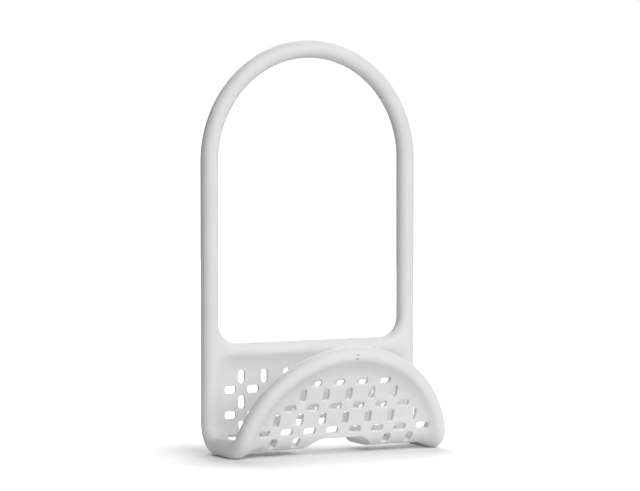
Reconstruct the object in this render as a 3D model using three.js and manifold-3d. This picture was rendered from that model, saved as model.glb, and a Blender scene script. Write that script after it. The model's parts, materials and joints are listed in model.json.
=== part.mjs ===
// Sponge holder: one soft moulding over a bendable wire ring, in millimetres, +Z up, flap to the front (-Y).
// Laid flat it is a long stadium with a thick round rim. The upper end is an open neck loop that hangs on a
// tap, a crossbar closes that loop, and below it a thin slotted web folds up in front as a half-moon flap.
import * as THREE from 'three';
import { mergeVertices } from 'three/addons/utils/BufferGeometryUtils.js';
import Module from 'manifold-3d';

const wasm = await Module();
wasm.setup();

// Overall sizes
const WIDTH = 145;
const HEIGHT = 248;
const FLAP_TOP = 66;
const CROSSBAR_TOP = 66;

// Rim and web sections
const RIM_DIA = 10.8;
const WEB_THICKNESS = 2.6;
const WEB_FILLET = 20;
const FILLET_SINK = 0.05;
const LOOP_CORNER = 12;
const FOOT_FLAT_DEPTH = 0.7;

// Side view of the fold, measured on the middle of the web
const BACK_BEND_RADIUS = 14;
const FLOOR_LENGTH = 18;
const FRONT_BEND_RADIUS = 12;
const FLAP_LEAN = THREE.MathUtils.degToRad(16.5);

// Slots, laid out on the flat web in rows of upright and lying slots by turns
const SLOT_PITCH = 15.35;
const SLOT_LENGTH = 7.9;
const SLOT_BREADTH = 4.4;
const SLOT_CORNER = 1.8;
const SLOT_EDGE = 0.3;
const FIRST_ROW = 16.3;

// Drain window across the floor, and how far round each bend it rises
const WINDOW_WIDTH = 44;
const WINDOW_CORNER = 11;
const WINDOW_FRONT_RISE = THREE.MathUtils.degToRad(60);
const WINDOW_BACK_RISE = THREE.MathUtils.degToRad(85);
const WINDOW_EDGE = 2.5;

// Wire ring inside the rim, and each of the two stretches of a leg that bend
const WIRE_DIA = 3;
const FIT_GAP = 0.3;
const BEND_LENGTH = 28;

// Facets
const RIM_SIDES = 16;
const BEAD_SIDES = 12;
const WIRE_SIDES = 6;
const FILLET_STEPS = 3;
const SLOT_CORNER_STEPS = 1;
const WINDOW_CORNER_STEPS = 4;
const HALF_ARCH_STEPS = 10;
const HALF_FLAP_STEPS = 9;
const BEND_STEPS = 8;

// Corners are snapped to this fine grid before solids are joined or cut
const GRID = 1e-6;

const rimRadius = RIM_DIA / 2;
const wireRadius = WIRE_DIA / 2;
const lineRadius = WIDTH / 2 - rimRadius;
const halfWeb = WEB_THICKNESS / 2;
const floorZ = rimRadius - FOOT_FLAT_DEPTH;
const archZ = HEIGHT - WIDTH / 2;
const crossbarZ = CROSSBAR_TOP - rimRadius;
const halfPitch = SLOT_PITCH / 2;
const blockSize = 2.5 * HEIGHT;
const across = new THREE.Vector3(1, 0, 0);
const towardsWall = new THREE.Vector3(0, 1, 0);
const upwards = new THREE.Vector3(0, 0, 1);

// Lengths along the flat web, from the middle of the flap's rim: down the flap, under the floor, up the back
const flapStartZ = floorZ + FRONT_BEND_RADIUS * (1 - Math.sin(FLAP_LEAN));
const flapEnd = (FLAP_TOP - rimRadius - flapStartZ) / Math.cos(FLAP_LEAN);
const frontEnd = flapEnd + FRONT_BEND_RADIUS * (Math.PI / 2 - FLAP_LEAN);
const floorEnd = frontEnd + FLOOR_LENGTH;
const backStart = floorEnd + BACK_BEND_RADIUS * Math.PI / 2;
const backStartZ = floorZ + BACK_BEND_RADIUS;
const floorMiddle = (frontEnd + floorEnd) / 2;
const crossbarAt = backStart + crossbarZ - backStartZ;
const archAt = backStart + archZ - backStartZ;
const windowStart = frontEnd - FRONT_BEND_RADIUS * WINDOW_FRONT_RISE;
const windowEnd = floorEnd + BACK_BEND_RADIUS * WINDOW_BACK_RISE;
const frontBend = spread(flapEnd, frontEnd, BEND_STEPS);
const backBend = spread(floorEnd, backStart, BEND_STEPS);

// Place on the folded web, and the way along it, for a length along the flat web
function fold(length) {
  const place = new THREE.Vector3();
  let turn = Math.PI / 2;
  if (length < flapEnd) {
    turn = FLAP_LEAN - Math.PI / 2;
    const up = flapEnd - length;
    const ahead = FRONT_BEND_RADIUS * Math.cos(FLAP_LEAN) + up * Math.sin(FLAP_LEAN);
    place.y = -BACK_BEND_RADIUS - FLOOR_LENGTH - ahead;
    place.z = flapStartZ + up * Math.cos(FLAP_LEAN);
  } else if (length < frontEnd) {
    turn = (length - frontEnd) / FRONT_BEND_RADIUS;
    place.y = -BACK_BEND_RADIUS - FLOOR_LENGTH + FRONT_BEND_RADIUS * Math.sin(turn);
    place.z = floorZ + FRONT_BEND_RADIUS * (1 - Math.cos(turn));
  } else if (length < floorEnd) {
    turn = 0;
    place.y = -BACK_BEND_RADIUS - (floorEnd - length);
    place.z = floorZ;
  } else if (length < backStart) {
    turn = (length - floorEnd) / BACK_BEND_RADIUS;
    place.y = -BACK_BEND_RADIUS * (1 - Math.sin(turn));
    place.z = floorZ + BACK_BEND_RADIUS * (1 - Math.cos(turn));
  } else {
    place.z = backStartZ + length - backStart;
  }
  const along = new THREE.Vector3(0, Math.cos(turn), Math.sin(turn));
  return { place, along };
}

// A line of set stations, each with its point, its way along and the way in towards the web
class StationLine extends THREE.Curve {
  constructor(stations) {
    super();
    this.stations = stations;
  }
  get steps() {
    return this.stations.length - 1;
  }
  station(u) {
    return this.stations[Math.round(u * this.steps)];
  }
  getPointAt(u) {
    return this.station(u).point.clone();
  }
  computeFrenetFrames() {
    const tangents = this.stations.map((station) => station.tangent);
    const normals = this.stations.map((station) => station.inward);
    const binormals = this.stations.map((station) => station.tangent.clone().cross(station.inward));
    return { tangents, normals, binormals };
  }
}

// Heading of the flat outline round the pocket: across at the top of the flap, turning to along the sides
function headingAt(length) {
  return Math.acos(Math.max(0, 1 - length / lineRadius));
}

// A station of the rim on the folded web, on the right (side 1) or on the left (side -1)
function rimStation(side, length, heading) {
  const { place, along } = fold(length);
  const outward = across.clone().multiplyScalar(side);
  const point = place.addScaledVector(outward, lineRadius * Math.sin(heading));
  const tangent = outward.clone().multiplyScalar(Math.cos(heading)).addScaledVector(along, Math.sin(heading));
  const inward = outward.clone().multiplyScalar(-Math.sin(heading)).addScaledVector(along, Math.cos(heading));
  return { point, tangent, inward };
}

function spread(from, to, steps) {
  return Array.from({ length: steps + 1 }, (_, i) => from + (to - from) * i / steps);
}

// Half of the rim round the pocket, from the top of the flap to the crossbar
function pocketLine(side) {
  const headings = spread(0, headingAt(flapEnd), HALF_FLAP_STEPS).slice(0, -1);
  const lengths = headings.map((heading) => lineRadius * (1 - Math.cos(heading)));
  lengths.push(...frontBend, lineRadius, ...backBend, crossbarAt);
  lengths.sort((a, b) => a - b);
  return new StationLine(lengths.map((length) => rimStation(side, length, headingAt(length))));
}

// Half of the rim round the neck loop, from the crossbar to the top of the arch
function neckLine(side) {
  const leg = rimStation(side, crossbarAt, Math.PI / 2);
  const arch = spread(Math.PI / 2, Math.PI, HALF_ARCH_STEPS).map((heading) => {
    return rimStation(side, archAt - lineRadius * Math.cos(heading), heading);
  });
  return new StationLine([leg, ...arch]);
}

// Line of the crossbar, which turns up into the legs with the loop's corner radius
function crossbarLine() {
  const cornerRadius = LOOP_CORNER + rimRadius;
  const straight = lineRadius - cornerRadius;
  const station = (cx, turn) => {
    const out = new THREE.Vector3(Math.sin(turn), 0, -Math.cos(turn));
    const point = new THREE.Vector3(cx, 0, crossbarZ + cornerRadius).addScaledVector(out, cornerRadius);
    return { point, tangent: new THREE.Vector3(Math.cos(turn), 0, Math.sin(turn)), inward: out };
  };
  const left = spread(-Math.PI / 2, 0, BEND_STEPS).map((turn) => station(-straight, turn));
  const right = spread(0, Math.PI / 2, BEND_STEPS).map((turn) => station(straight, turn));
  return new StationLine(left.concat(right));
}

function roundSection(radius, sides) {
  const points = Array.from({ length: sides }, (_, i) => {
    const angle = i * 2 * Math.PI / sides;
    return new THREE.Vector2(radius * Math.cos(angle), radius * Math.sin(angle));
  });
  return new THREE.Shape(points);
}

// Section of the rim where it carries the web: a round bead that runs out in two soft fillets, just under the
// faces of the web
function filletedSection() {
  const tip = halfWeb - FILLET_SINK;
  const reach = Math.sqrt((rimRadius + WEB_FILLET) ** 2 - (tip + WEB_FILLET) ** 2);
  const touch = Math.atan2(tip + WEB_FILLET, reach);
  const bead = spread(touch, 2 * Math.PI - touch, BEAD_SIDES).map((angle) => {
    return new THREE.Vector2(rimRadius * Math.cos(angle), rimRadius * Math.sin(angle));
  });
  const fillet = (sign) => spread(0, Math.PI / 2 - touch, FILLET_STEPS).map((angle) => {
    const x = reach - WEB_FILLET * Math.sin(angle);
    return new THREE.Vector2(x, sign * (tip + WEB_FILLET * (1 - Math.cos(angle))));
  });
  const upper = fillet(1).slice(0, -1);
  const lower = fillet(-1).slice(0, -1).reverse();
  return new THREE.Shape(upper.concat(bead, lower));
}

// Solids for joining and cutting, with corners on a fine grid so that the two halves meet exactly
function solid(geometry) {
  const bare = geometry.clone();
  bare.deleteAttribute('normal');
  bare.deleteAttribute('uv');
  const merged = mergeVertices(bare);
  const corners = merged.attributes.position.array;
  const vertProperties = Float32Array.from(corners, (value) => Math.round(value / GRID) * GRID);
  const triVerts = new Uint32Array(merged.index.array);
  return new wasm.Manifold(new wasm.Mesh({ numProp: 3, vertProperties, triVerts }));
}

function sweep(section, line) {
  const options = { steps: line.steps, extrudePath: line, bevelEnabled: false };
  return solid(new THREE.ExtrudeGeometry(section, options));
}

function prism(shape, depth, matrix, curveSegments) {
  const geometry = new THREE.ExtrudeGeometry(shape, { depth, bevelEnabled: false, curveSegments });
  return solid(geometry.translate(0, 0, -depth / 2).applyMatrix4(matrix));
}

function join(solids) {
  return solids.reduce((whole, next) => whole.add(next));
}

function roundedRectangle(width, height, corner) {
  const w = width / 2;
  const h = height / 2;
  const shape = new THREE.Shape();
  shape.absarc(w - corner, h - corner, corner, 0, Math.PI / 2);
  shape.absarc(corner - w, h - corner, corner, Math.PI / 2, Math.PI);
  shape.absarc(corner - w, corner - h, corner, Math.PI, 1.5 * Math.PI);
  shape.absarc(w - corner, corner - h, corner, 1.5 * Math.PI, 2 * Math.PI);
  return shape;
}

// Frame on the folded web: X across, Y along the flat web, Z out of it
function webFrame(x, length) {
  const { place, along } = fold(length);
  const matrix = new THREE.Matrix4().makeBasis(across, along, across.clone().cross(along));
  return matrix.setPosition(place.addScaledVector(across, x));
}

// A strip that follows the fold through the given lengths along the flat web
function foldedStrip(lengths, width, thickness) {
  const face = (height) => lengths.map((length) => {
    const { place, along } = fold(length);
    return new THREE.Vector2(place.y - height * along.z, place.z + height * along.y);
  });
  const outline = new THREE.Shape(face(-thickness / 2).concat(face(thickness / 2).reverse()));
  return prism(outline, width, new THREE.Matrix4().makeBasis(towardsWall, upwards, across));
}

// Web: a strip that runs down the flap, under the floor and up the back, cut to a half-moon on the flap
function foldedWeb() {
  const halfWidth = lineRadius * Math.sin(headingAt(flapCut));
  const strip = foldedStrip([0, ...frontBend, ...backBend, crossbarAt], 2 * halfWidth, WEB_THICKNESS);
  const halfMoon = new THREE.Shape();
  halfMoon.absarc(0, lineRadius, lineRadius, Math.PI, 2 * Math.PI);
  const flapTrim = prism(halfMoon, RIM_DIA, webFrame(0, 0), HALF_FLAP_STEPS);
  return strip.intersect(join([flapTrim, towardsBack(flapCut), backHalf]));
}

// Slot pattern: every row shifts by half a pitch, odd rows hold upright slots
function rowLength(row) {
  return FIRST_ROW + row * halfPitch;
}

function rowHalf(row) {
  return row % 2 ? { x: SLOT_BREADTH / 2, y: SLOT_LENGTH / 2 } : { x: SLOT_LENGTH / 2, y: SLOT_BREADTH / 2 };
}

// Middle of the plain strip between a row and the next one
function afterRow(row) {
  const near = rowLength(row) + rowHalf(row).y;
  const far = rowLength(row + 1) - rowHalf(row + 1).y;
  return (near + far) / 2;
}

// The last row whose far strip comes before a length along the web
function rowBefore(length) {
  let row = 0;
  while (afterRow(row + 1) < length) {
    row += 1;
  }
  return row;
}

function slotFits(x, row) {
  const half = rowHalf(row);
  const length = rowLength(row);
  const limit = lineRadius - rimRadius - SLOT_EDGE;
  const cornerX = Math.abs(x) + half.x - SLOT_CORNER;
  const cornerY = Math.max(0, lineRadius - length + half.y - SLOT_CORNER);
  const clearOfRim = Math.hypot(cornerX, cornerY) + SLOT_CORNER <= limit;
  const besideWindow = Math.abs(x) - half.x > WINDOW_WIDTH / 2 + WINDOW_EDGE;
  const aheadOfWindow = length + half.y < windowStart - WINDOW_EDGE;
  const behindWindow = length - half.y > windowEnd + WINDOW_EDGE;
  return clearOfRim && (besideWindow || aheadOfWindow || behindWindow);
}

function slotCutters() {
  const cutters = [];
  const depth = 2 * rimRadius;
  const lastRow = Math.floor((crossbarAt - rimRadius - SLOT_EDGE - SLOT_LENGTH / 2 - FIRST_ROW) / halfPitch);
  const columns = Math.floor(WIDTH / SLOT_PITCH);
  for (let row = 0; row <= lastRow; row += 1) {
    const half = rowHalf(row);
    const shape = roundedRectangle(2 * half.x, 2 * half.y, SLOT_CORNER);
    for (let column = -columns; column <= columns; column += 1) {
      const x = column * SLOT_PITCH + (row % 2 ? 0 : halfPitch);
      if (slotFits(x, row)) {
        cutters.push(prism(shape, depth, webFrame(x, rowLength(row)), SLOT_CORNER_STEPS));
      }
    }
  }
  return cutters;
}

// What a round corner of the window leaves of a square one, with a margin outside it
function cornerFill(side, end) {
  const half = WINDOW_CORNER / 2;
  const inner = WINDOW_WIDTH / 2 - WINDOW_CORNER;
  const outer = WINDOW_WIDTH / 2 + halfWeb;
  const arc = spread(0, Math.PI / 2, WINDOW_CORNER_STEPS).map((angle) => {
    return [inner + WINDOW_CORNER * Math.cos(angle), WINDOW_CORNER * Math.sin(angle) - half];
  });
  const points = [[outer, -half], ...arc, [inner, half + halfWeb], [outer, half + halfWeb]];
  return new THREE.Shape(points.map(([x, y]) => new THREE.Vector2(side * x, end * y)));
}

// Drain window: a strip through the floor and both bends, less the fills of its four round corners
function windowCutter() {
  const inBends = [...frontBend, ...backBend].filter((length) => length > windowStart && length < windowEnd);
  const strip = foldedStrip([windowStart, ...inBends, windowEnd], WINDOW_WIDTH, 2 * WEB_THICKNESS);
  const ends = [[windowStart + WINDOW_CORNER / 2, -1], [windowEnd - WINDOW_CORNER / 2, 1]];
  const fills = ends.flatMap(([length, end]) => bothSides.map((side) => {
    return prism(cornerFill(side, end), RIM_DIA, webFrame(0, length));
  }));
  return strip.subtract(join(fills));
}

// A large block that fills one side of a plane, half the fit gap away from it
function sideOf(point, direction) {
  const turned = new THREE.Quaternion().setFromUnitVectors(upwards, direction);
  const matrix = new THREE.Matrix4().makeRotationFromQuaternion(turned);
  matrix.setPosition(point.clone().addScaledVector(direction, blockSize / 2 + FIT_GAP / 2));
  return solid(new THREE.BoxGeometry(blockSize, blockSize, blockSize).applyMatrix4(matrix));
}

function above(z) {
  return sideOf(new THREE.Vector3(0, 0, z), upwards);
}

function below(z) {
  return sideOf(new THREE.Vector3(0, 0, z), upwards.clone().negate());
}

function towardsBack(length) {
  const { place, along } = fold(length);
  return sideOf(place, along);
}

function towardsFlap(length) {
  const { place, along } = fold(length);
  return sideOf(place, along.negate());
}

// The moulding and the wire are parted in plain strips between slot rows and in the straight legs, where the
// two bends of the neck leave three plain lengths alike
const flapCut = afterRow(rowBefore(flapEnd));
const floorCut = afterRow(rowBefore(frontEnd));
const backCutZ = fold(afterRow(rowBefore(backStart) + 1)).place.z;
const legStartZ = CROSSBAR_TOP + LOOP_CORNER;
const plainLeg = (archZ - legStartZ - 2 * BEND_LENGTH) / 3;
const lowerStartZ = legStartZ + plainLeg;
const lowerEndZ = lowerStartZ + BEND_LENGTH;
const upperStartZ = lowerEndZ + plainLeg;
const upperEndZ = upperStartZ + BEND_LENGTH;

// Whole moulding and whole wire ring
const bothSides = [1, -1];
const middleOfFloor = fold(floorMiddle).place;
const frontHalf = sideOf(middleOfFloor, towardsWall.clone().negate());
const backHalf = sideOf(middleOfFloor, towardsWall);
const rightHalf = sideOf(new THREE.Vector3(), across);
const leftHalf = sideOf(new THREE.Vector3(), across.clone().negate());
const insideLeg = (side) => {
  const inwards = across.clone().multiplyScalar(-side);
  return sideOf(inwards.clone().multiplyScalar(-lineRadius), inwards);
};
const ground = sideOf(new THREE.Vector3(0, 0, -FIT_GAP / 2), upwards);
const neckTubes = bothSides.map((side) => sweep(roundSection(rimRadius, RIM_SIDES), neckLine(side)));
const pocketRims = bothSides.map((side) => sweep(filletedSection(), pocketLine(side)));
const crossbar = sweep(filletedSection(), crossbarLine()).intersect(insideLeg(1)).intersect(insideLeg(-1));
const ring = (radius) => {
  const section = roundSection(radius, WIRE_SIDES);
  const lines = bothSides.flatMap((side) => [pocketLine(side), neckLine(side)]);
  return join(lines.map((line) => sweep(section, line)));
};
const wire = ring(wireRadius);
const bore = ring(wireRadius + FIT_GAP / Math.cos(Math.PI / WIRE_SIDES));
const moulding = join([...neckTubes, ...pocketRims, crossbar, foldedWeb()])
  .subtract(join([...slotCutters(), windowCutter()]))
  .subtract(bore)
  .intersect(ground);

// Regions of the lengths that move or bend
const behindFold = towardsBack(floorCut).add(backHalf);
const flapRegion = towardsFlap(flapCut).intersect(frontHalf);
const foldRegion = towardsBack(flapCut).intersect(towardsFlap(floorCut)).intersect(frontHalf);
const floorRegion = behindFold.intersect(below(backCutZ));
const backRegion = above(backCutZ).intersect(below(lowerStartZ)).intersect(backHalf);
const sideRegion = behindFold.intersect(below(lowerStartZ));
const lowerRegion = above(lowerStartZ).intersect(below(lowerEndZ));
const legRegion = above(lowerEndZ).intersect(below(upperStartZ));
const upperRegion = above(upperStartZ).intersect(below(upperEndZ));
const archRegion = above(upperEndZ);

const softMaterial = new THREE.MeshStandardMaterial({ color: 0xdfe0e2, roughness: 0.72, metalness: 0 });
const wireMaterial = new THREE.MeshStandardMaterial({ color: 0x9a9da1, roughness: 0.4, metalness: 1 });
const holder = new THREE.Group();

function addNode(name, body, material) {
  const { vertProperties, triVerts, numProp } = body.getMesh();
  const geometry = new THREE.BufferGeometry();
  geometry.setAttribute('position', new THREE.BufferAttribute(new Float32Array(vertProperties), numProp));
  geometry.setIndex(new THREE.BufferAttribute(new Uint32Array(triVerts), 1));
  geometry.computeVertexNormals();
  const mesh = new THREE.Mesh(geometry, material);
  mesh.name = name;
  holder.add(mesh);
}

addNode('back_panel', moulding.intersect(backRegion), softMaterial);
addNode('pocket_floor', moulding.intersect(floorRegion), softMaterial);
addNode('front_fold', moulding.intersect(foldRegion), softMaterial);
addNode('front_flap', moulding.intersect(flapRegion), softMaterial);
addNode('flap_wire', wire.intersect(flapRegion), wireMaterial);
for (const [side, half] of Object.entries({ left: leftHalf, right: rightHalf })) {
  addNode(`${side}_side_wire`, wire.intersect(sideRegion).intersect(half), wireMaterial);
  addNode(`${side}_fold_wire`, wire.intersect(foldRegion).intersect(half), wireMaterial);
  addNode(`${side}_lower_bend`, moulding.intersect(lowerRegion).intersect(half), softMaterial);
  addNode(`${side}_lower_wire`, wire.intersect(lowerRegion).intersect(half), wireMaterial);
  addNode(`${side}_leg`, moulding.intersect(legRegion).intersect(half), softMaterial);
  addNode(`${side}_leg_wire`, wire.intersect(legRegion).intersect(half), wireMaterial);
  addNode(`${side}_upper_bend`, moulding.intersect(upperRegion).intersect(half), softMaterial);
  addNode(`${side}_upper_wire`, wire.intersect(upperRegion).intersect(half), wireMaterial);
}
addNode('neck_arch', moulding.intersect(archRegion), softMaterial);
addNode('neck_wire', wire.intersect(archRegion), wireMaterial);

// Stand the holder on its origin, at the middle of its base
const middle = new THREE.Box3().setFromObject(holder).getCenter(new THREE.Vector3());
holder.position.y = -middle.y;

export default holder;
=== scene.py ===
import json
import math

import bpy
import numpy as np
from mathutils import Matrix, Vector
from mathutils.geometry import delaunay_2d_cdt


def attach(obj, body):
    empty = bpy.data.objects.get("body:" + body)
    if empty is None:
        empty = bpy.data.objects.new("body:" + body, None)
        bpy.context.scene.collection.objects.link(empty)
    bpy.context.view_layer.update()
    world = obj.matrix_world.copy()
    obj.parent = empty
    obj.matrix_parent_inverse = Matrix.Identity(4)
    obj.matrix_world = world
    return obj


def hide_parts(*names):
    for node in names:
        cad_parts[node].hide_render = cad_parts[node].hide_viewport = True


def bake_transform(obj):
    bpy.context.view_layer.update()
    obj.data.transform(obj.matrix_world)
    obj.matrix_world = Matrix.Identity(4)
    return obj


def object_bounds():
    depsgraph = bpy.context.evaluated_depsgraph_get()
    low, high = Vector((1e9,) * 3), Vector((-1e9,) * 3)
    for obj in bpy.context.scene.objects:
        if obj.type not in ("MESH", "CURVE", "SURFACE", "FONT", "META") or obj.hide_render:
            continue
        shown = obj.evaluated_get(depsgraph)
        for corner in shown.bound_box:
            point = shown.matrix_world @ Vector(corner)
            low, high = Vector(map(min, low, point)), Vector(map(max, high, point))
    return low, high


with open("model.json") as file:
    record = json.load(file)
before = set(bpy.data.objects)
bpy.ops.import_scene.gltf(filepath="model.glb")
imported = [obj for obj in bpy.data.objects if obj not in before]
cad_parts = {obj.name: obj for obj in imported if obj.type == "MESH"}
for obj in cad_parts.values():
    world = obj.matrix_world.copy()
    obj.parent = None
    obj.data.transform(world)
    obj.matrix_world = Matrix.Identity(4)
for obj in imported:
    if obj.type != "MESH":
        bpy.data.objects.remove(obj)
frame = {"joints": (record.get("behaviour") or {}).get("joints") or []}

cad_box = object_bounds()
joints = {joint["name"]: joint for joint in frame["joints"]}
MM = 0.001

# The rim, and what follows from it and the frame: the rim's line, the back plane and the bends of the neck
RIM_RADIUS = 5.4 * MM
LINE_RADIUS = cad_box[1].x - RIM_RADIUS
ARCH_Z = cad_box[1].z - cad_box[1].x
BACK_Y = joints["neck_lower_bend"]["pos_m"][1]
LOWER_BEND_Z = joints["neck_lower_bend"]["pos_m"][2]
UPPER_BEND_Z = joints["neck_upper_bend"]["pos_m"][2]

# Side view of the fold, on the middle of the web
FLOOR_Z = 4.7 * MM
BACK_RADIUS = 14 * MM
FLOOR_LENGTH = 18 * MM
FRONT_RADIUS = 12 * MM
FLAP_LEAN = math.radians(16.5)
FLAP_TOP = 66 * MM
CROSSBAR_TOP = 66 * MM

# Sections: the web, the soft fillet that runs up to the rim, the corners of the loop and of the dish
HALF_WEB = 1.3 * MM
WEB_FILLET = 20 * MM
LOOP_CORNER = 12 * MM
DISH_CORNER = 17 * MM

# Slots and drain window, on the flat web
SLOT_PITCH = 15.35 * MM
SLOT_LENGTH = 7.9 * MM
SLOT_BREADTH = 4.4 * MM
SLOT_CORNER = 1.8 * MM
SLOT_CLEARANCE = 0.3 * MM
FIRST_ROW = 16.3 * MM
LAST_ROW = 15
SIDE_COLUMNS = 5
WINDOW_WIDTH = 44 * MM
WINDOW_CORNER = 11 * MM
WINDOW_FRONT_RISE = math.radians(60)
WINDOW_BACK_RISE = math.radians(85)
WINDOW_EDGE = 2.5 * MM
EDGE_ROUND = 0.3 * MM

# Two small marks that the pins of the mould leave on the front of the flap's rim: their size, the slope of
# their wall, the room they need in the mesh and the rings of points that draw them
PIN_MARK_RADIUS = 0.95 * MM
PIN_MARK_DEPTH = 1.6 * MM
PIN_MARK_LENGTHS = (-1.8 * MM, 0.5 * MM)
PIN_MARK_WALL = 0.3 * PIN_MARK_RADIUS
PIN_MARK_ROOM = 1.8 * PIN_MARK_RADIUS
PIN_MARK_RINGS = np.array([0.5, 0.8, 1.0, 1.4]) * PIN_MARK_RADIUS
PIN_MARK_SIDES = 12

# Core wire
WIRE_RADIUS = 1.5 * MM

# Spacing of the mesh: along the rim, on the web, round rim and wire, across the fillet and at corners
STATION = 1.5 * MM
GRID = 1.4 * MM
QUARTER_SIDES = 8
WIRE_SIDES = 12
BEAD_ROWS = 5
FILLET_ROWS = 9
CORNER_STEP = math.radians(5)
SLOT_STEP = math.radians(12)
WINDOW_STEP = math.radians(6)

# Room that the web's grid leaves beside the rim's crest, the fillet, the cuts and the seam
CREST_ROOM = 0.6 * GRID
FILLET_ROOM = 1.7 * GRID
CUT_ROOM = 0.3 * GRID
SEAM_ROOM = 0.4 * GRID

# Limits of rounding: a part of one step, a distance, how far a chord cuts a round corner and, in
# millimetres, how near two points are one
ROUNDING = 1e-6
TINY = 0.001 * MM
CHORD_SAG = 0.008 * MM
WELD = 1e-4

# Lengths along the flat web from the middle of the flap's rim: down the flap, under the floor, up the back
CROSSBAR_Z = CROSSBAR_TOP - RIM_RADIUS
FLAP_START_Z = FLOOR_Z + FRONT_RADIUS * (1 - math.sin(FLAP_LEAN))
FLAP_END = (FLAP_TOP - RIM_RADIUS - FLAP_START_Z) / math.cos(FLAP_LEAN)
FRONT_END = FLAP_END + FRONT_RADIUS * (math.pi / 2 - FLAP_LEAN)
FLOOR_END = FRONT_END + FLOOR_LENGTH
BACK_START = FLOOR_END + BACK_RADIUS * math.pi / 2
UP_THE_BACK = BACK_START - FLOOR_Z - BACK_RADIUS
CROSSBAR_AT = UP_THE_BACK + CROSSBAR_Z
BAR_TURN = LOOP_CORNER + RIM_RADIUS
BAR_HALF = LINE_RADIUS - BAR_TURN
WINDOW_START = FRONT_END - FRONT_RADIUS * WINDOW_FRONT_RISE
WINDOW_END = FLOOR_END + BACK_RADIUS * WINDOW_BACK_RISE
WINDOW_MIDDLE = (WINDOW_START + WINDOW_END) / 2
WINDOW_HALF = (WINDOW_WIDTH / 2, (WINDOW_END - WINDOW_START) / 2)

# Lengths to the plain strips behind the fourth and the sixth row of slots, and to the strip behind the
# eighth one, on the flat floor, where the skin of the pocket is parted
STRIP = (SLOT_PITCH + SLOT_LENGTH - SLOT_BREADTH) / 4
FLAP_CUT = FIRST_ROW + 1.5 * SLOT_PITCH + STRIP
FLOOR_CUT = FIRST_ROW + 2.5 * SLOT_PITCH + STRIP
FLOOR_SEAM = FIRST_ROW + 3.5 * SLOT_PITCH + STRIP

# The skins of the pocket, the legs and the loop meet on the straight legs
POCKET_TOP_Z = 85 * MM
POCKET_TOP = UP_THE_BACK + POCKET_TOP_Z
LEG_SEAM_Z = (LOWER_BEND_Z + UPPER_BEND_Z) / 2

# Fillet: how far it runs in, and the angle and depth at which it leaves the round rim
FILLET_REACH = math.sqrt((RIM_RADIUS + WEB_FILLET) ** 2 - (HALF_WEB + WEB_FILLET) ** 2)
FILLET_TOUCH = math.atan2(HALF_WEB + WEB_FILLET, FILLET_REACH)
TOUCH_DEPTH = RIM_RADIUS * math.cos(FILLET_TOUCH)

# Rings round a slot or the window: its wall, the rounding of its edge and one beyond
EDGE_RINGS = np.array([0, 1 - math.sqrt(0.5), 1, 2.2]) * EDGE_ROUND

# Camera, as the photograph was taken: from the front, to the left and a little above
CAMERA_AZIMUTH = math.radians(27.95)
CAMERA_ELEVATION = math.radians(3.27)
CAMERA_DISTANCE = 2.2
CAMERA_TARGET = Vector((0, BACK_Y - 20 * MM, 124.3 * MM))
CAMERA_LENS = 205.1
CAMERA_SHIFT_X = -0.0062

# Floor: its half side, the holder's footprint, the way to the back, and where the glow starts and is full,
# away from the footprint and towards the back
FLOOR_HALF_SIDE = 40.0
FOOTPRINT_MIDDLE = (-4.5 * MM, 8 * MM, 0)
FOOTPRINT_HALF = (61.5 * MM, 19 * MM, 0)
ZERO = (0, 0, 0)
WAY_BACK = (0.45, 0.89, 0)
GLOW_START = 14 * MM
GLOW_FULL = 140 * MM
BACK_GLOW_START = 15 * MM
BACK_GLOW_FULL = 65 * MM
BACK_GLOW = 0.6

# Share of the light that the floor throws back near the holder and far from it, and where it falls
BOUNCE_NEAR = 0.8
BOUNCE_FAR = 0.35
BOUNCE_START = 60 * MM
BOUNCE_END = 300 * MM

# Light: the way to the bright side of the room, the room's levels, and each lamp's place, size and watts
BRIGHT_SIDE = (0.5, -0.72, 0.48)
ROOM_TURN = 0.6
ROOM_DARK = 0.03
ROOM_BRIGHT = 0.37
LAMP_TARGET = (0, 0, 0.1)
LAMPS = {
    "key": ((0.08, -1.48, 0.92), 1.7, 24),
    "back": ((0.63, 1.36, 0.9), 1.4, 21),
}


def fold(x, length, height):
    """Points of the folded moulding for points of the flat one.

    The length along the flat web runs straight down the leaning flap, round the front bend, along the
    floor, round the back bend and straight up the back. The height is measured square to the web, towards
    the inside of the pocket, so a point is its place on that line plus the height along the line's normal.
    """
    x, length, height = np.broadcast_arrays(x, length, height)
    front = np.clip((FRONT_END - length) / FRONT_RADIUS, 0, math.pi / 2 - FLAP_LEAN)
    back = np.clip((length - FLOOR_END) / BACK_RADIUS, 0, math.pi / 2)
    turn = back - front
    up_flap = np.maximum(FLAP_END - length, 0)
    up_back = np.maximum(length - BACK_START, 0)
    along_floor = np.clip(FLOOR_END - length, 0, FLOOR_LENGTH)
    y = BACK_Y - BACK_RADIUS * (1 - np.sin(back)) - along_floor
    y = y - FRONT_RADIUS * np.sin(front) - up_flap * math.sin(FLAP_LEAN)
    z = FLOOR_Z + BACK_RADIUS * (1 - np.cos(back)) + up_back
    z = z + FRONT_RADIUS * (1 - np.cos(front)) + up_flap * math.cos(FLAP_LEAN)
    return np.stack([x, y - height * np.sin(turn), z + height * np.cos(turn)], axis=-1)


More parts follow.
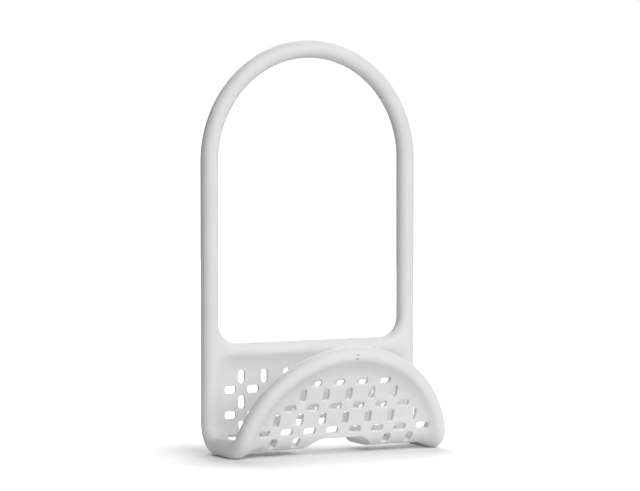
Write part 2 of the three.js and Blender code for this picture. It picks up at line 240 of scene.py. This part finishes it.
def rim_depth(x, length):
    """Depth inwards from the rim's line on the flat outline: zero on the crest, negative towards the edge.

    Outside the stadium line it is the distance to that line, on the side of the neck loop the distance to
    the crossbar's line, and on the web the smaller of the two, rounded where both are near.
    """
    beside = LINE_RADIUS - np.hypot(x, np.minimum(length - LINE_RADIUS, 0))
    out = np.abs(x) - BAR_HALF
    rise = length - CROSSBAR_AT - BAR_TURN
    corner = np.hypot(out, np.minimum(rise, 0)) - BAR_TURN
    by_leg = np.where(rise < 0, corner, np.abs(x) - LINE_RADIUS)
    below = np.where(out > 0, by_leg, CROSSBAR_AT - length)
    lesser = np.minimum(beside, below)
    short_of_side = np.maximum(DISH_CORNER - beside, 0)
    short_of_bar = np.maximum(DISH_CORNER - below, 0)
    rounded = DISH_CORNER - np.hypot(short_of_side, short_of_bar)
    dish = np.where(lesser > DISH_CORNER, lesser, np.maximum(rounded, 0))
    return np.where(beside < 0, beside, np.where(below < 0, below, dish))


def half_thickness(depth):
    """Half the moulding's thickness: a round bead, then a hollow fillet tangent to bead and web, then the
    even web."""
    bead = np.sqrt(np.maximum(RIM_RADIUS ** 2 - depth ** 2, 0))
    inward = np.clip(FILLET_REACH - depth, 0, FILLET_REACH - TOUCH_DEPTH)
    fillet = HALF_WEB + WEB_FILLET - np.sqrt(WEB_FILLET ** 2 - inward ** 2)
    return np.where(depth < TOUCH_DEPTH, bead, fillet)


def box_distance(x, length, half_x, half_length, corner):
    """Distance to the outline of a rectangle with round corners, negative inside it."""
    over_x = np.abs(x) - half_x + corner
    over_length = np.abs(length) - half_length + corner
    outside = np.hypot(np.maximum(over_x, 0), np.maximum(over_length, 0))
    return outside + np.minimum(np.maximum(over_x, over_length), 0) - corner


def slots():
    """Centres and half sizes of the slots: rows half a pitch apart, lying and upright by turns, each row
    shifted by half a pitch. A slot is kept where it clears the rim and the drain window."""
    columns = np.arange(-SIDE_COLUMNS, SIDE_COLUMNS + 1)
    row, column = np.meshgrid(np.arange(LAST_ROW + 1), columns, indexing="ij")
    upright = row % 2 == 1
    x = (column + np.where(upright, 0, 0.5)) * SLOT_PITCH
    length = FIRST_ROW + row * SLOT_PITCH / 2
    half_x = np.where(upright, SLOT_BREADTH, SLOT_LENGTH) / 2
    half_length = np.where(upright, SLOT_LENGTH, SLOT_BREADTH) / 2
    corner_x = np.abs(x) + half_x - SLOT_CORNER
    corner_length = np.maximum(LINE_RADIUS - length + half_length - SLOT_CORNER, 0)
    reach = np.hypot(corner_x, corner_length) + SLOT_CORNER
    clear_of_rim = reach <= LINE_RADIUS - RIM_RADIUS - SLOT_CLEARANCE
    beside = np.abs(x) - half_x > WINDOW_HALF[0] + WINDOW_EDGE
    ahead = length + half_length < WINDOW_START - WINDOW_EDGE
    behind = length - half_length > WINDOW_END + WINDOW_EDGE
    kept = clear_of_rim & (beside | ahead | behind)
    return np.stack([x[kept], length[kept], half_x[kept], half_length[kept]], axis=-1)


SLOTS = slots()


def cut_distance(x, length):
    """Distance to the nearest slot or to the drain window, negative inside one."""
    along_x = x[:, None] - SLOTS[:, 0]
    along_length = length[:, None] - SLOTS[:, 1]
    nearest = box_distance(along_x, along_length, SLOTS[:, 2], SLOTS[:, 3], SLOT_CORNER).min(axis=1)
    window = box_distance(x, length - WINDOW_MIDDLE, *WINDOW_HALF, WINDOW_CORNER)
    return np.minimum(nearest, window)


def pin_distance(x, length):
    """Distance to the nearer of the two pin marks."""
    first, second = (np.hypot(x, length - mark) for mark in PIN_MARK_LENGTHS)
    return np.minimum(first, second)


def spread(start, end, spacing=STATION):
    """Even steps from start to end, both included, no wider than the spacing."""
    return np.linspace(start, end, max(2, math.ceil(abs(end - start) / spacing - ROUNDING) + 1))


def arc(centre, radius, start, end, step):
    """Points and outward normals on an arc, with its angle measured from +X towards growing length."""
    angle = spread(start, end, step)
    normal = np.stack([np.cos(angle), np.sin(angle)], axis=-1)
    return np.array(centre) + radius * normal, normal


def run(start, end, normal):
    """Points on a straight run, with its normal."""
    steps = spread(0, math.dist(start, end)) / math.dist(start, end)
    points = np.array(start) + steps[:, None] * (np.array(end) - np.array(start))
    return points, np.broadcast_to(normal, points.shape)


def line_of(*pieces):
    """One line of points and normals from arcs and runs that follow each other."""
    points = np.concatenate([pieces[0][0]] + [piece[0][1:] for piece in pieces[1:]])
    normals = np.concatenate([pieces[0][1]] + [piece[1][1:] for piece in pieces[1:]])
    return points, normals


def flap_arc():
    """Half circle of the flap's rim, from the left side round the front to the right side."""
    return arc((0, LINE_RADIUS), LINE_RADIUS, -math.pi, 0, STATION / LINE_RADIUS)


def stadium_line():
    """The rim's line from the left leg down round the flap and up the right leg, with outward normals."""
    marks = [POCKET_TOP, CROSSBAR_AT + BAR_TURN, CROSSBAR_AT - DISH_CORNER, FLOOR_SEAM, LINE_RADIUS]
    pairs = list(zip(marks[:-1], marks[1:]))
    left = [run((-LINE_RADIUS, high), (-LINE_RADIUS, low), (-1, 0)) for high, low in pairs]
    right = [run((LINE_RADIUS, low), (LINE_RADIUS, high), (1, 0)) for high, low in reversed(pairs)]
    return line_of(*left, flap_arc(), *right)


def crossbar_line():
    """The line of the neck loop's foot: down the right leg, round the corner, along the crossbar and up
    the left leg, with normals to the inside of the loop."""
    turn = CROSSBAR_AT + BAR_TURN
    right = arc((BAR_HALF, turn), BAR_TURN, 0, -math.pi / 2, CORNER_STEP)
    left = arc((-BAR_HALF, turn), BAR_TURN, -math.pi / 2, -math.pi, CORNER_STEP)
    return line_of(
        run((LINE_RADIUS, POCKET_TOP), (LINE_RADIUS, turn), (-1, 0)),
        (right[0], -right[1]),
        run((BAR_HALF, CROSSBAR_AT), (-BAR_HALF, CROSSBAR_AT), (0, 1)),
        (left[0], -left[1]),
        run((-LINE_RADIUS, turn), (-LINE_RADIUS, POCKET_TOP), (1, 0)),
    )


def dish_line():
    """The closed line round the web: the flap's half-moon, the sides, two round corners and the crossbar,
    with normals to the outside."""
    radius, corner = LINE_RADIUS, DISH_CORNER
    shoulder = CROSSBAR_AT - corner
    return line_of(
        flap_arc(),
        run((radius, radius), (radius, FLOOR_SEAM), (1, 0)),
        run((radius, FLOOR_SEAM), (radius, shoulder), (1, 0)),
        arc((radius - corner, shoulder), corner, 0, math.pi / 2, CORNER_STEP),
        run((radius - corner, CROSSBAR_AT), (corner - radius, CROSSBAR_AT), (0, 1)),
        arc((corner - radius, shoulder), corner, math.pi / 2, math.pi, CORNER_STEP),
        run((-radius, shoulder), (-radius, FLOOR_SEAM), (-1, 0)),
        run((-radius, FLOOR_SEAM), (-radius, radius), (-1, 0)),
    )


def box_outline(half_x, half_length, corner, step):
    """Closed outline of a rectangle with round corners, and its outward normals."""
    x, y = half_x - corner, half_length - corner
    quarter = math.pi / 2
    points, normals = line_of(
        run((half_x, -y), (half_x, y), (1, 0)),
        arc((x, y), corner, 0, quarter, step),
        run((x, half_length), (-x, half_length), (0, 1)),
        arc((-x, y), corner, quarter, 2 * quarter, step),
        run((-half_x, y), (-half_x, -y), (-1, 0)),
        arc((-x, -y), corner, 2 * quarter, 3 * quarter, step),
        run((-x, -half_length), (x, -half_length), (0, -1)),
        arc((x, -y), corner, 3 * quarter, 4 * quarter, step),
    )
    return points[:-1], normals[:-1]


def offsets_of(line, offsets):
    """A line repeated at each offset along its normals."""
    points, normals = line
    return points + np.asarray(offsets)[:, None, None] * normals


def cut_rings():
    """Rings of points round every slot and the window, the wall first."""
    rings = []
    for half_x in (SLOT_BREADTH / 2, SLOT_LENGTH / 2):
        alike = SLOTS[SLOTS[:, 2] == half_x]
        outline = box_outline(half_x, alike[0, 3], SLOT_CORNER, SLOT_STEP)
        rings.extend(offsets_of(outline, EDGE_RINGS) + centre for centre in alike[:, None, None, :2])
    window = offsets_of(box_outline(*WINDOW_HALF, WINDOW_CORNER, WINDOW_STEP), EDGE_RINGS)
    return rings + [window + np.array([0, WINDOW_MIDDLE])]


def pin_rings():
    """Rings of points in and round the two pin marks."""
    angle = np.arange(PIN_MARK_SIDES) * 2 * math.pi / PIN_MARK_SIDES
    circle = np.stack([np.cos(angle), np.sin(angle)], axis=-1)
    rings = PIN_MARK_RINGS[:, None, None] * circle
    return [rings + np.array([0, length]) for length in PIN_MARK_LENGTHS]


def chain(count, first, closed=False):
    """Index pairs that join a run of points to a line."""
    start = np.arange(count if closed else count - 1)
    return np.stack([start, (start + 1) % count], axis=-1) + first


def flat_points():
    """Points of the flat moulding and the edges that must show: outline, foot of the loop, seams and cuts.

    Rows of points follow the rim's lines, at even angles round the bead and across the fillet. A square
    grid fills the web, and rings lie round the cuts and the pin marks.
    """
    quarter = np.cos(np.linspace(0, math.pi / 2, QUARTER_SIDES + 1)) * RIM_RADIUS
    bead = np.cos(np.linspace(math.pi / 2, FILLET_TOUCH, BEAD_ROWS)) * RIM_RADIUS
    hollow = np.linspace(math.pi / 2 - FILLET_TOUCH, 0, FILLET_ROWS)[1:]
    fillet = FILLET_REACH - WEB_FILLET * np.sin(hollow)
    inwards = np.concatenate([bead, fillet, [FILLET_REACH + GRID]])
    outer = offsets_of(stadium_line(), quarter)
    inner = offsets_of(crossbar_line(), quarter)
    dish = offsets_of(dish_line(), -inwards)

    far = np.arange(-LINE_RADIUS, LINE_RADIUS, GRID)
    deep = np.arange(0, CROSSBAR_AT + BAR_TURN, GRID)
    grid = np.stack(np.meshgrid(far, deep), axis=-1).reshape(-1, 2)
    depth = rim_depth(*grid.T)
    # The grid fills the web, and the corners where the crossbar meets the legs and the crest is broad
    plateau = (depth == 0) & (np.abs(grid[:, 0]) < LINE_RADIUS - CREST_ROOM)
    grid = grid[(depth > FILLET_REACH + FILLET_ROOM) | plateau]

    soft = np.concatenate([rows.reshape(-1, 2) for rows in (outer[1:], inner[1:], dish, grid)])
    clear = cut_distance(*soft.T) > EDGE_RINGS[-1] + CUT_ROOM
    clear &= pin_distance(*soft.T) > PIN_MARK_ROOM
    clear &= np.abs(soft[:, 1] - FLOOR_SEAM) > SEAM_ROOM

    edge = WINDOW_HALF[0]
    plain = spread(edge + EDGE_RINGS[-1] + GRID / 2, LINE_RADIUS - inwards[-1], GRID)[:-1]
    rim = np.concatenate([-inwards[::-1], quarter[-2::-1]]) + LINE_RADIUS
    seam_x = np.concatenate([edge + EDGE_RINGS, plain, rim])
    seam = np.stack([seam_x, np.full_like(seam_x, FLOOR_SEAM)], axis=-1)

    fixed, edges, count = [], [], 0
    for line in (outer[0], inner[0], seam, seam * [-1, 1]):
        fixed.append(line)
        edges.append(chain(len(line), count))
        count += len(line)
    for ring in cut_rings():
        fixed.append(ring.reshape(-1, 2))
        edges.append(chain(ring.shape[1], count, closed=True))
        count += ring.shape[0] * ring.shape[1]
    fixed.extend(ring.reshape(-1, 2) for ring in pin_rings())
    return np.concatenate(fixed + [soft[clear]]), np.concatenate(edges)


def flat_triangles():
    """Points and triangles of the flat moulding, with slots, window and neck loop left open."""
    points, edges = flat_points()
    found = delaunay_2d_cdt([Vector(p) for p in (points / MM).tolist()], edges.tolist(), [], 0, WELD)
    points = np.array([tuple(p) for p in found[0]]) * MM
    triangles = np.array(found[2])
    middle = points[triangles].mean(axis=1)
    inside = (cut_distance(*middle.T) > -CHORD_SAG) & (rim_depth(*middle.T) > -RIM_RADIUS)
    inside &= middle[:, 1] < POCKET_TOP
    return points, triangles[inside]


def mesh_object(name, points, faces, material, sharp=()):
    """A smooth shaded object from points and faces, with the given vertex pairs kept as sharp edges."""
    mesh = bpy.data.meshes.new(name)
    mesh.from_pydata(points.tolist(), [], faces)
    mesh.shade_smooth()
    if len(sharp):
        order = np.empty(len(mesh.edges) * 2, dtype=np.int32)
        mesh.edges.foreach_get("vertices", order)
        order = np.sort(order.reshape(-1, 2), axis=1).astype(np.int64)
        wanted = np.sort(np.asarray(sharp), axis=1)
        size = len(points)
        marked = np.isin(order[:, 0] * size + order[:, 1], wanted[:, 0] * size + wanted[:, 1])
        mesh.attributes.new("sharp_edge", "BOOLEAN", "EDGE").data.foreach_set("value", marked)
    mesh.materials.append(material)
    piece = bpy.data.objects.new(name, mesh)
    bpy.context.scene.collection.objects.link(piece)
    return piece


def pocket_skin(name, flat, triangles, material):
    """Skin of one part of the pocket: two faces over the flat outline, at plus and minus the half
    thickness, closed along the rim's edge and by walls in the cuts and the seams, then folded.

    The half thickness is lowered along the cuts by a quarter round, and the front face by the pin marks.
    """
    x, length = flat.T
    depth = rim_depth(x, length)
    count = len(flat)
    on_edge = depth < -RIM_RADIUS + TINY
    half = np.where(on_edge, 0, half_thickness(depth))
    drop = np.clip(EDGE_ROUND - cut_distance(x, length), 0, EDGE_ROUND)
    half = half - (EDGE_ROUND - np.sqrt(EDGE_ROUND ** 2 - drop ** 2))
    pit = np.clip((PIN_MARK_RADIUS - pin_distance(x, length)) / PIN_MARK_WALL, 0, 1)
    points = np.concatenate([fold(x, length, half), fold(x, length, pit * PIN_MARK_DEPTH - half)])
    # The rim would pass a little below the CAD model's box, so it is flattened there: those are the feet
    points = np.maximum(points, np.array(cad_box[0]))
    front = np.where(on_edge, np.arange(count), np.arange(count) + count)

    # A side of just one triangle is open: it gets a wall, unless both faces meet there on the rim's edge
    sides = np.concatenate([triangles[:, [0, 1]], triangles[:, [1, 2]], triangles[:, [2, 0]]])
    keys = sides.min(axis=1) * count + sides.max(axis=1)
    first, uses = np.unique(keys, return_index=True, return_counts=True)[1:]
    open_sides = sides[first[uses == 1]]
    open_sides = open_sides[~on_edge[open_sides].all(axis=1)]
    a, b = open_sides.T
    walls = np.stack([b, a, front[a], front[b]], axis=-1)

    # Where the skin meets the next piece, its edge stays sharp
    ends = length[open_sides]
    seam = np.minimum(np.abs(ends - FLOOR_SEAM), np.abs(ends - POCKET_TOP)).max(axis=1) < TINY
    used = np.unique(np.concatenate([triangles, front[triangles]]))
    place = np.full(2 * count, -1)
    place[used] = np.arange(len(used))
    faces = place[np.concatenate([triangles, front[triangles[:, ::-1]]])].tolist()
    faces += [list(dict.fromkeys(wall)) for wall in place[walls].tolist()]
    sharp = place[np.concatenate([open_sides[seam], front[open_sides[seam]]])]
    return mesh_object(name, points[used], faces, material, sharp)


def tube(name, line, normals, radius, sides, material):
    """A round tube: each point of the line carries a circle, spanned by its normal and by the direction
    square to that and to the line.

    The two ends are closed by flat faces with a sharp edge.
    """
    square = np.cross(np.gradient(line, axis=0), normals)
    square = square / np.linalg.norm(square, axis=1, keepdims=True)
    angle = np.arange(sides)[:, None] * 2 * math.pi / sides
    circle = np.cos(angle) * normals[:, None] + np.sin(angle) * square[:, None]
    points = line[:, None] + radius * circle
    rows, count = points.shape[:2]
    start = np.arange(rows - 1)[:, None] * count
    here = np.arange(count)
    after = (here + 1) % count
    corners = (start + here, start + after, start + count + after, start + count + here)
    quads = np.stack(np.broadcast_arrays(*corners), axis=-1)
    last = (rows - 1) * count
    faces = quads.reshape(-1, 4).tolist() + [here[::-1].tolist(), (last + here).tolist()]
    rim = np.stack([here, after], axis=-1)
    return mesh_object(name, points.reshape(-1, 3), faces, material, np.concatenate([rim, rim + last]))


def leg_line(side, low, high):
    """Straight line up one leg of the neck, with normals to the outside."""
    z = spread(low, high)
    line = np.stack([np.full_like(z, side * LINE_RADIUS), np.full_like(z, BACK_Y), z], axis=-1)
    return line, np.broadcast_to([float(side), 0, 0], line.shape)


def arch_line():
    """Line of the loop: up the right leg, over the half circle and down the left leg, with normals to the
    outside."""
    angle = spread(0, math.pi, STATION / LINE_RADIUS)
    over = np.stack([np.cos(angle), np.zeros_like(angle), np.sin(angle)], axis=-1)
    right = leg_line(1, LEG_SEAM_Z, ARCH_Z)
    left = leg_line(-1, ARCH_Z, LEG_SEAM_Z)
    return line_of(right, (LINE_RADIUS * over + [0, BACK_Y, ARCH_Z], over), left)


def pocket_wire_lines():
    """Lines of the wire round the pocket: down the left side, round the flap and up the right side, with
    the flat outline's outward normals carried through the fold as short steps."""
    points, normals = stadium_line()
    line = fold(points[:, 0], points[:, 1], 0)
    step = 0.01 * RIM_RADIUS
    beside = points + step * normals
    outward = fold(beside[:, 0], beside[:, 1], 0) - line
    outward = outward / np.linalg.norm(outward, axis=1, keepdims=True)
    first, second = np.flatnonzero(np.abs(points[:, 1] - FLOOR_SEAM) < TINY)
    cuts = (slice(None, first + 1), slice(first, second + 1), slice(second, None))
    return [(line[cut], outward[cut]) for cut in cuts]


def linear(hex_colour):
    """Linear colour of an sRGB hex value."""
    values = [int(hex_colour[i:i + 2], 16) / 255 for i in (1, 3, 5)]
    return [v / 12.92 if v <= 0.04045 else ((v + 0.055) / 1.055) ** 2.4 for v in values] + [1]


def add_node(tree, kind, links=(), **settings):
    """Adds a node, sets its properties or inputs by name and links its inputs to the given outputs."""
    node = tree.nodes.new(kind)
    for name, value in settings.items():
        if name in node.bl_rna.properties:
            setattr(node, name, value)
        else:
            node.inputs[name.replace("_", " ")].default_value = value
    for socket, output in dict(links).items():
        tree.links.new(output, node.inputs[socket])
    return node


def new_material(name):
    """An empty node material with its output node."""
    material = bpy.data.materials.new(name)
    material.use_nodes = True
    tree = material.node_tree
    tree.nodes.clear()
    return material, tree, add_node(tree, "ShaderNodeOutputMaterial")


def moulded_rubber():
    """Thermoplastic rubber, injection moulded in a finely eroded tool: matte off-white, evenly grained."""
    material, tree, output = new_material("moulded_thermoplastic_rubber")
    place = add_node(tree, "ShaderNodeTexCoord").outputs["Object"]
    # The tool's grain is about 0.2 mm, too fine to see here, so it is drawn at 0.9 mm and very shallow
    grain = add_node(tree, "ShaderNodeTexNoise", {"Vector": place}, Scale=1 / (0.9 * MM), Detail=3.0)
    # Faint clouds, a few centimetres wide, as the melt cools unevenly
    cloud = add_node(tree, "ShaderNodeTexNoise", {"Vector": place}, Scale=1 / (28 * MM), Detail=2.0)
    tint = add_node(tree, "ShaderNodeValToRGB", {"Fac": cloud.outputs["Fac"]})
    tint.color_ramp.elements[0].position = 0.3
    tint.color_ramp.elements[0].color = linear("#E2E2E3")
    tint.color_ramp.elements[1].position = 0.7
    tint.color_ramp.elements[1].color = linear("#E6E6E6")
    height = grain.outputs["Fac"]
    rough = add_node(tree, "ShaderNodeMapRange", {"Value": height}, To_Min=0.56, To_Max=0.7)
    bump = add_node(tree, "ShaderNodeBump", {"Height": height}, Strength=0.1, Distance=0.1 * MM)
    # Soft rubber lets a little light in, so the walls of the slots and the inside of the pocket stay pale
    shader = add_node(
        tree,
        "ShaderNodeBsdfPrincipled",
        {
            "Base Color": tint.outputs["Color"],
            "Roughness": rough.outputs["Result"],
            "Normal": bump.outputs["Normal"],
        },
        IOR=1.49,
        Subsurface_Weight=0.35,
        Subsurface_Radius=(1, 1, 1),
        Subsurface_Scale=1 * MM,
    )
    tree.links.new(shader.outputs["BSDF"], output.inputs["Surface"])
    return material


def drawn_wire():
    """Soft steel wire, drawn: bare grey metal with fine marks, sealed inside the rim."""
    material, tree, output = new_material("drawn_steel_wire")
    place = add_node(tree, "ShaderNodeTexCoord").outputs["Object"]
    marks = add_node(tree, "ShaderNodeTexNoise", {"Vector": place}, Scale=1 / (0.8 * MM), Detail=2.0)
    rough = add_node(tree, "ShaderNodeMapRange", {"Value": marks.outputs["Fac"]}, To_Min=0.3, To_Max=0.5)
    shader = add_node(
        tree,
        "ShaderNodeBsdfPrincipled",
        {"Roughness": rough.outputs["Result"]},
        Base_Color=linear("#9A9DA1"),
        Metallic=1.0,
    )
    tree.links.new(shader.outputs["BSDF"], output.inputs["Surface"])
    return material


def build_pocket(rubber, steel):
    """Skin and wire of the pocket: the back rides on the pocket, the front stays where it is built."""
    flat, triangles = flat_triangles()
    ahead = flat[triangles].mean(axis=1)[:, 1] < FLOOR_SEAM
    back = pocket_skin("pocket_back_skin", flat, triangles[~ahead], rubber)
    front = pocket_skin("pocket_front_skin", flat, triangles[ahead], rubber)
    left_wire, front_wire, right_wire = pocket_wire_lines()
    left = tube("left_side_core", *left_wire, WIRE_RADIUS, WIRE_SIDES, steel)
    core = tube("front_core", *front_wire, WIRE_RADIUS, WIRE_SIDES, steel)
    right = tube("right_side_core", *right_wire, WIRE_RADIUS, WIRE_SIDES, steel)

    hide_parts("back_panel", "pocket_floor")
    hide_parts("front_fold", "front_flap")
    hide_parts("left_side_wire")
    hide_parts("flap_wire", "left_fold_wire", "right_fold_wire")
    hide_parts("right_side_wire")
    for piece in (back, left, right):
        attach(piece, "pocket")
    for piece in (front, core):
        fold(0, FLOOR_CUT, 0)
        fold(0, FLAP_CUT, 0)
        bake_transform(piece)


def build_neck(rubber, steel):
    """Skins and wires of the neck, in three lengths that meet between the bends: a round rim and a round
    wire on the same line."""
    low = ("pocket", "neck_legs", LOWER_BEND_Z)
    high = ("neck_legs", "neck_loop", UPPER_BEND_Z)
    lengths = (
        ("left_leg", leg_line(-1, POCKET_TOP_Z, LEG_SEAM_Z), ("left_lower", "left_leg"), low),
        ("right_leg", leg_line(1, POCKET_TOP_Z, LEG_SEAM_Z), ("right_lower", "right_leg"), low),
        ("neck_loop", arch_line(), ("left_upper", "right_upper", "neck"), high),
    )
    skins = {
        "left_lower": "left_lower_bend",
        "right_lower": "right_lower_bend",
        "left_upper": "left_upper_bend",
        "right_upper": "right_upper_bend",
        "neck": "neck_arch",
    }
    for name, line, stretches, (lower, upper, middle) in lengths:
        skin = tube(f"{name}_skin", *line, RIM_RADIUS, 4 * QUARTER_SIDES, rubber)
        core = tube(f"{name}_core", *line, WIRE_RADIUS, WIRE_SIDES, steel)
        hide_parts(*[skins.get(stretch, stretch) for stretch in stretches])
        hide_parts(*[f"{stretch}_wire" for stretch in stretches])
        for piece in (skin, core):
            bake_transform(piece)


def add_camera():
    """The camera, looking at the middle of the holder along its azimuth and elevation."""
    back = Vector((
        -math.sin(CAMERA_AZIMUTH) * math.cos(CAMERA_ELEVATION),
        -math.cos(CAMERA_AZIMUTH) * math.cos(CAMERA_ELEVATION),
        math.sin(CAMERA_ELEVATION),
    ))
    data = bpy.data.cameras.new("camera")
    data.lens = CAMERA_LENS
    data.shift_x = CAMERA_SHIFT_X
    camera = bpy.data.objects.new("camera", data)
    camera.location = CAMERA_TARGET + back * CAMERA_DISTANCE
    camera.rotation_mode = "QUATERNION"
    camera.rotation_quaternion = (-back).to_track_quat("-Z", "Y")
    bpy.context.scene.collection.objects.link(camera)
    bpy.context.scene.camera = camera


def add_seen(tree):
    """One for rays that show the stage itself, to the camera, in a gloss or through glass, and zero for
    other rays."""
    path = add_node(tree, "ShaderNodeLightPath")
    seen = path.outputs["Is Camera Ray"]
    for kind in ("Is Glossy Ray", "Is Transmission Ray"):
        links = {0: seen, 1: path.outputs[kind]}
        seen = add_node(tree, "ShaderNodeMath", links, operation="MAXIMUM").outputs[0]
    return seen


def add_floor():
    """A large pale floor. It is seen as white paper with painted light: it glows more with the distance
    from the holder and towards the back, which covers the lamps' shadow there, so that only the soft
    shadow near the holder shows. To rays that don't show it, it is a matte grey, pale near the holder and
    darker far off, as a small sheet of paper in a dim room.

    The distance from the footprint is worked out as for a rectangle: the place, from the middle and
    without its sign, less the half size and not below zero, has that length.
    """
    material, tree, output = new_material("studio_floor")
    place = add_node(tree, "ShaderNodeTexCoord").outputs["Object"]
    backwards = add_node(tree, "ShaderNodeVectorMath", {0: place}, operation="DOT_PRODUCT")
    backwards.inputs[1].default_value = WAY_BACK
    for operation, amount in (
        ("SUBTRACT", FOOTPRINT_MIDDLE),
        ("ABSOLUTE", ZERO),
        ("SUBTRACT", FOOTPRINT_HALF),
        ("MAXIMUM", ZERO),
        ("DISTANCE", ZERO),
    ):
        step = add_node(tree, "ShaderNodeVectorMath", {0: place}, operation=operation)
        step.inputs[1].default_value = amount
        place = step.outputs[0]
    away = {"Value": step.outputs["Value"]}
    behind = {"Value": backwards.outputs["Value"]}
    # Painted light: the floor glows away from the holder and behind it, where the lamps' shadow would fall
    far_glow = add_node(tree, "ShaderNodeMapRange", away, From_Min=GLOW_START, From_Max=GLOW_FULL)
    back_glow = add_node(
        tree,
        "ShaderNodeMapRange",
        behind,
        From_Min=BACK_GLOW_START,
        From_Max=BACK_GLOW_FULL,
        To_Max=BACK_GLOW,
    )
    both = {0: far_glow.outputs[0], 1: back_glow.outputs[0]}
    glow = add_node(tree, "ShaderNodeMath", both, operation="MAXIMUM")
    paper = add_node(tree, "ShaderNodeBsdfDiffuse", Color=linear("#F8F8F8"))
    light = add_node(tree, "ShaderNodeEmission", {"Strength": glow.outputs[0]})
    shown = add_node(tree, "ShaderNodeAddShader", {0: paper.outputs[0], 1: light.outputs[0]})
    bounce = add_node(
        tree,
        "ShaderNodeMapRange",
        away,
        From_Min=BOUNCE_START,
        From_Max=BOUNCE_END,
        To_Min=BOUNCE_NEAR,
        To_Max=BOUNCE_FAR,
    )
    matte = add_node(tree, "ShaderNodeBsdfDiffuse", {"Color": bounce.outputs[0]})
    links = {0: add_seen(tree), 1: matte.outputs[0], 2: shown.outputs[0]}
    pick = add_node(tree, "ShaderNodeMixShader", links)
    tree.links.new(pick.outputs[0], output.inputs["Surface"])
    corners = FLOOR_HALF_SIDE * np.array([[-1, -1, 0], [1, -1, 0], [1, 1, 0], [-1, 1, 0]])
    mesh_object("studio_floor", corners, [[0, 1, 2, 3]], material)


def add_lamp(name, place, target, size, watts):
    """A square soft lamp that faces the target."""
    data = bpy.data.lights.new(name, "AREA")
    data.size = size
    data.energy = watts
    lamp = bpy.data.objects.new(name, data)
    lamp.location = place
    lamp.rotation_mode = "QUATERNION"
    lamp.rotation_quaternion = (Vector(target) - Vector(place)).to_track_quat("-Z", "Y")
    bpy.context.scene.collection.objects.link(lamp)


def add_light():
    """Soft studio light: a room that is seen white, and a large lamp in front and one behind.

    The room lights the holder more from the front, the right and above. Its level rises evenly with the
    dot product of the ray's direction and the way to the bright side.
    """
    world = bpy.data.worlds.new("studio")
    world.use_nodes = True
    tree = world.node_tree
    tree.nodes.clear()
    direction = add_node(tree, "ShaderNodeTexCoord").outputs["Generated"]
    towards = add_node(tree, "ShaderNodeVectorMath", {0: direction}, operation="DOT_PRODUCT")
    towards.inputs[1].default_value = BRIGHT_SIDE
    level = add_node(
        tree,
        "ShaderNodeMapRange",
        {"Value": towards.outputs["Value"]},
        From_Min=-ROOM_TURN,
        From_Max=ROOM_TURN,
        To_Min=ROOM_DARK,
        To_Max=ROOM_BRIGHT,
    )
    pale = linear("#FFFFFF")
    room = add_node(tree, "ShaderNodeBackground", {"Strength": level.outputs[0]}, Color=pale)
    white = add_node(tree, "ShaderNodeBackground", Color=pale, Strength=1.0)
    links = {0: add_seen(tree), 1: room.outputs[0], 2: white.outputs[0]}
    pick = add_node(tree, "ShaderNodeMixShader", links)
    output = add_node(tree, "ShaderNodeOutputWorld")
    tree.links.new(pick.outputs[0], output.inputs["Surface"])
    bpy.context.scene.world = world
    for name, (place, size, watts) in LAMPS.items():
        add_lamp(name, place, LAMP_TARGET, size, watts)


bpy.context.scene.view_settings.view_transform = "Standard"
rubber_material = moulded_rubber()
wire_material = drawn_wire()
build_pocket(rubber_material, wire_material)
build_neck(rubber_material, wire_material)
add_camera()
add_floor()
add_light()
